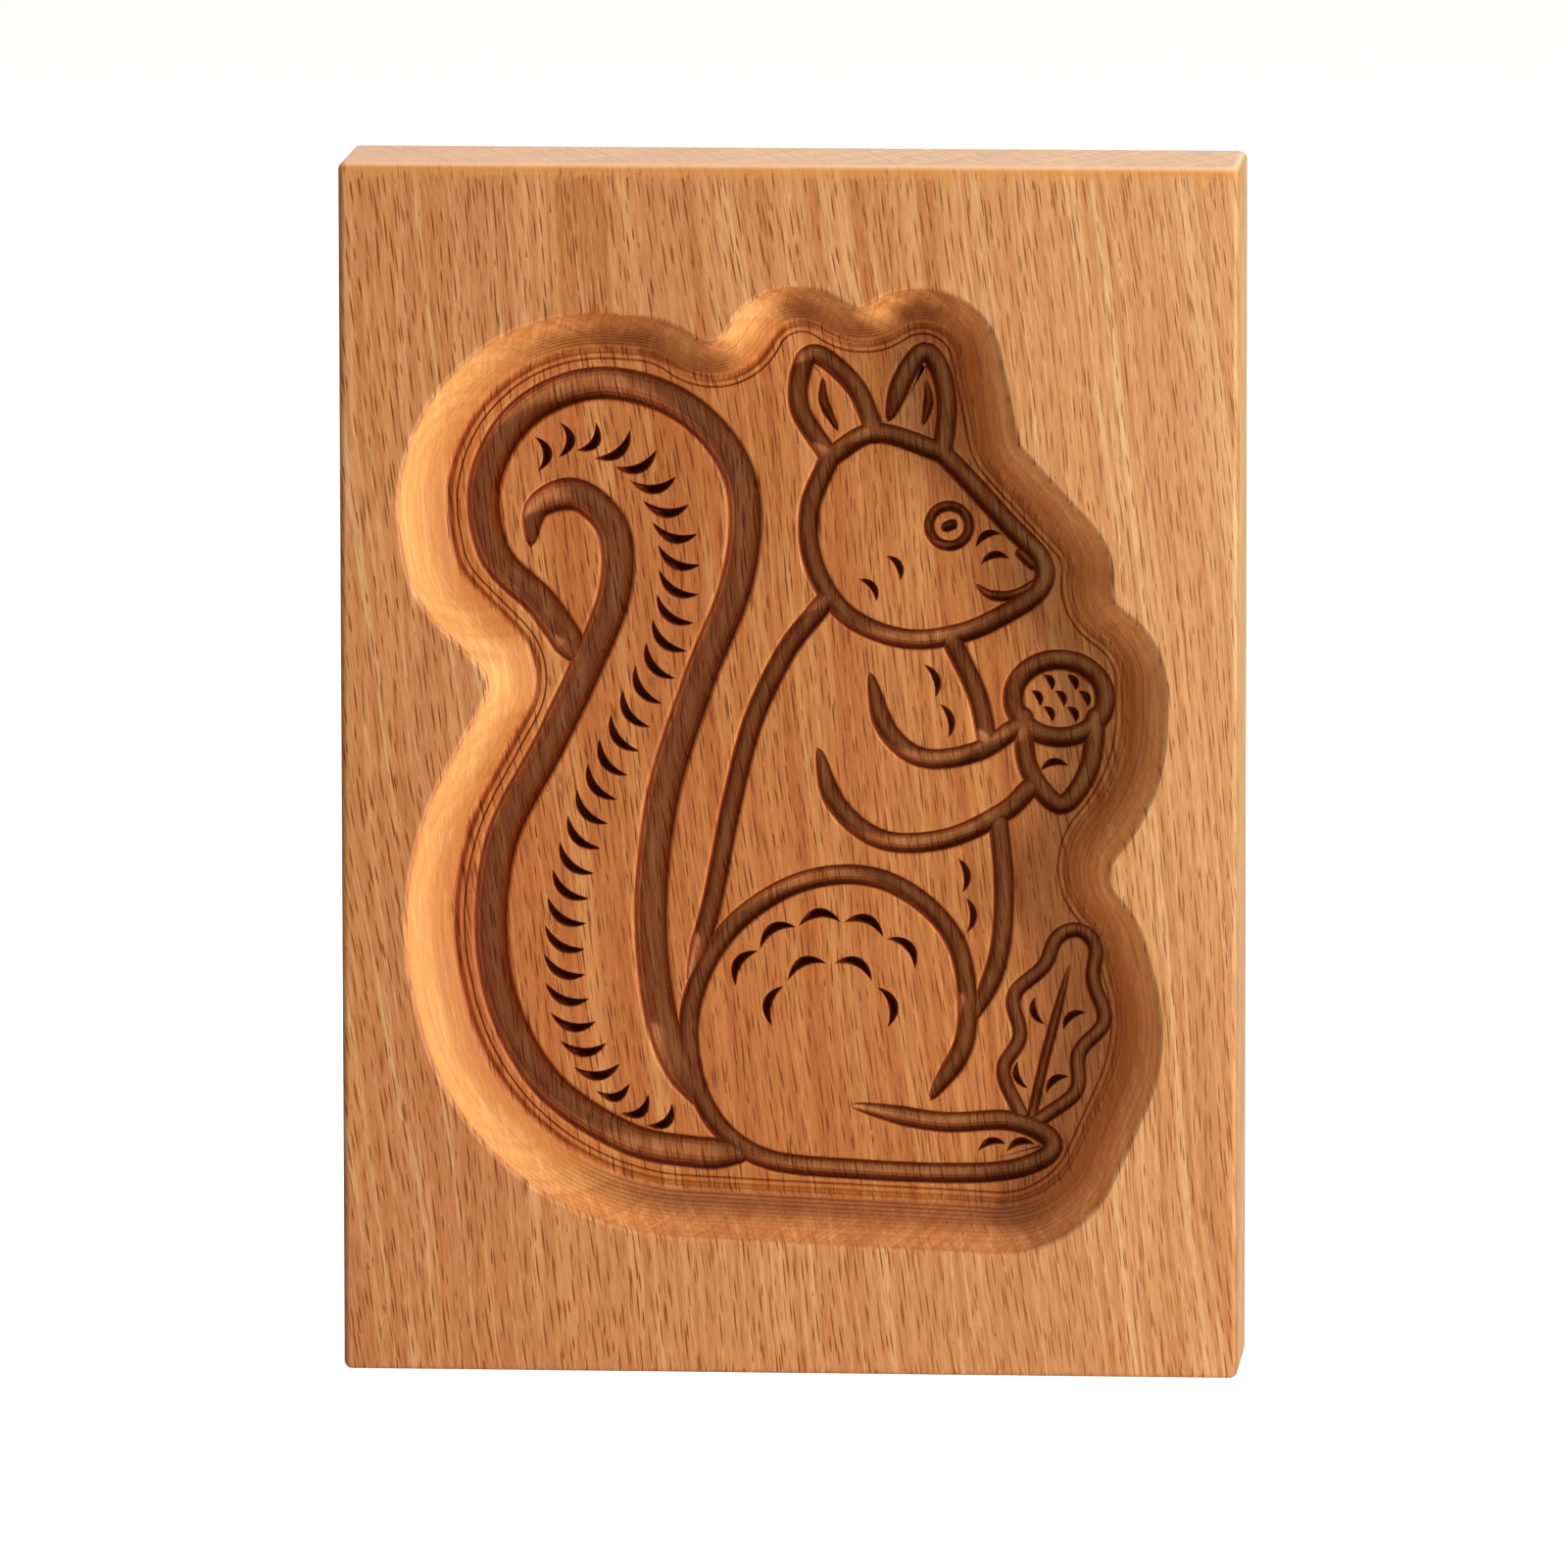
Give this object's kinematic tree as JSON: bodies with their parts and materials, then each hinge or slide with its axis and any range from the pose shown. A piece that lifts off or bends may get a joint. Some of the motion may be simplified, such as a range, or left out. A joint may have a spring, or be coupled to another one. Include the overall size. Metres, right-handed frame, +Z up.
{
  "type": "cookie mould",
  "caption": "Thick rectangular beech board with a deep sloped-wall hollow shaped as a sitting squirrel with an acorn, cut with fine grooves, to press and shape cookie dough.",
  "frame": {"origin": "middle of the board's lower end, on the surface that it stands on in the picture", "axes": "+Z up along the board's length and its grain, +X to the right across its width, +Y from the carved face to the plain back"},
  "size_m": [0.112, 0.02, 0.152],
  "materials": {
    "beech": "planed and sanded beech with a thin food-safe oil, satin"
  },
  "bodies": {
    "root": {"mould_board": "beech"}
  },
  "joints": []
}
